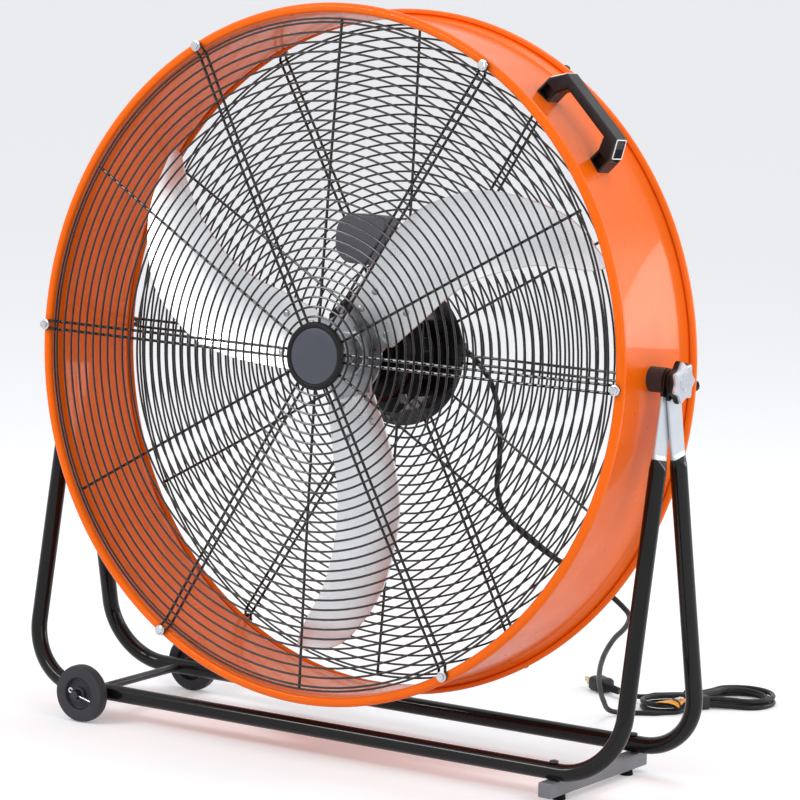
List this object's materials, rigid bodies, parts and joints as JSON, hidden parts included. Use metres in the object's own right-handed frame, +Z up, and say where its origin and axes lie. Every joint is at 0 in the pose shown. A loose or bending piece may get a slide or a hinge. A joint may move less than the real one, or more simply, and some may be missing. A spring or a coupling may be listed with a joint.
{
  "type": "drum fan",
  "caption": "Orange drum fan with wire guards and aluminium blades, tilting between knobs on a black tube stand with wheels, its mains lead tied up behind it.",
  "frame": {"origin": "on the floor below the middle of the stand", "axes": "+Z up, -Y the way the air leaves the drum, +X from the wheels towards the foot bar"},
  "size_m": [0.8828, 0.6668, 0.8863],
  "materials": {
    "orange_paint": "gloss, orange",
    "black_paint": "semi-gloss, black",
    "black_plastic": "fine grained, black",
    "slate_badge": "satin, slate grey",
    "zinc_steel": "bright zinc",
    "satin_aluminium": "satin sheet",
    "grey_paint": "satin, light grey",
    "wheel_plastic": "matte, dark grey",
    "foot_rubber": "matte",
    "silver_plastic": "silver, satin",
    "cord_pvc": "satin, black"
  },
  "bodies": {
    "stand": {"front_tube": "black_paint", "rear_tube": "black_paint", "axle": "zinc_steel", "cotter_front": "zinc_steel", "cotter_rear": "zinc_steel", "foot_bar": "grey_paint", "foot_front": "foot_rubber", "foot_rear": "foot_rubber", "foot_bolt_front": "zinc_steel", "foot_bolt_rear": "zinc_steel", "cord": "cord_pvc", "cord_hank": "cord_pvc", "hank_tie": "black_plastic", "plug": "black_plastic"},
    "drum": {"drum_shell": "orange_paint", "front_grille_rings": "black_paint", "front_grille_spokes": "black_paint", "rear_grille_rings": "black_paint", "rear_grille_spokes": "black_paint", "badge_ring": "black_plastic", "badge_face": "slate_badge", "front_screw_1": "zinc_steel", "front_screw_2": "zinc_steel", "front_screw_3": "zinc_steel", "front_screw_4": "zinc_steel", "front_screw_5": "zinc_steel", "front_screw_6": "zinc_steel", "rear_screw_1": "zinc_steel", "rear_screw_2": "zinc_steel", "rear_screw_3": "zinc_steel", "rear_screw_4": "zinc_steel", "rear_screw_5": "zinc_steel", "rear_screw_6": "zinc_steel", "motor_body": "black_paint", "motor_end_cap": "zinc_steel", "motor_bracket": "black_paint", "motor_bolt_1": "zinc_steel", "motor_bolt_2": "zinc_steel", "motor_bolt_3": "zinc_steel", "motor_bolt_4": "zinc_steel", "control_box": "grey_paint", "handle": "black_plastic", "right_spacer": "black_plastic", "left_spacer": "black_plastic", "drum_lead": "cord_pvc", "cord_clip": "black_plastic"},
    "fan": {"motor_shaft": "zinc_steel", "hub_spider": "zinc_steel", "blade_1": "satin_aluminium", "blade_2": "satin_aluminium", "blade_3": "satin_aluminium", "hub_nut": "zinc_steel"},
    "front_wheel_body": {"front_wheel": "wheel_plastic"},
    "rear_wheel_body": {"rear_wheel": "wheel_plastic"},
    "right_knob_body": {"right_knob": "black_plastic", "right_knob_cap": "silver_plastic"},
    "left_knob_body": {"left_knob": "black_plastic", "left_knob_cap": "silver_plastic"},
    "speed_knob_body": {"speed_knob": "black_plastic"}
  },
  "joints": [
    {"name": "drum_tilt", "type": "hinge", "parent": "stand", "child": "drum", "pos_m": [0, 0, 0.481], "axis": [1, 0, 0], "range_deg": [-85, 94], "deforming": ["cord"]},
    {"name": "fan_spin", "type": "hinge", "parent": "drum", "child": "fan", "pos_m": [0, -0.02071, 0.47256], "axis": [0, 0.9971, -0.0767], "continuous": true},
    {"name": "front_wheel_roll", "type": "hinge", "parent": "stand", "child": "front_wheel_body", "pos_m": [-0.322, -0.113, 0.035], "axis": [0, 1, 0], "continuous": true},
    {"name": "rear_wheel_roll", "type": "hinge", "parent": "stand", "child": "rear_wheel_body", "pos_m": [-0.322, 0.113, 0.035], "axis": [0, 1, 0], "continuous": true},
    {"name": "right_knob_turn", "type": "hinge", "parent": "stand", "child": "right_knob_body", "pos_m": [0.43, 0, 0.481], "axis": [1, 0, 0], "range_deg": [0, 360]},
    {"name": "left_knob_turn", "type": "hinge", "parent": "stand", "child": "left_knob_body", "pos_m": [-0.43, 0, 0.481], "axis": [-1, 0, 0], "range_deg": [0, 360]},
    {"name": "speed_knob_turn", "type": "hinge", "parent": "drum", "child": "speed_knob_body", "pos_m": [-0.04518, 0.10462, 0.60238], "axis": [0, 0.9971, -0.0767], "range_deg": [0, 90]}
  ]
}
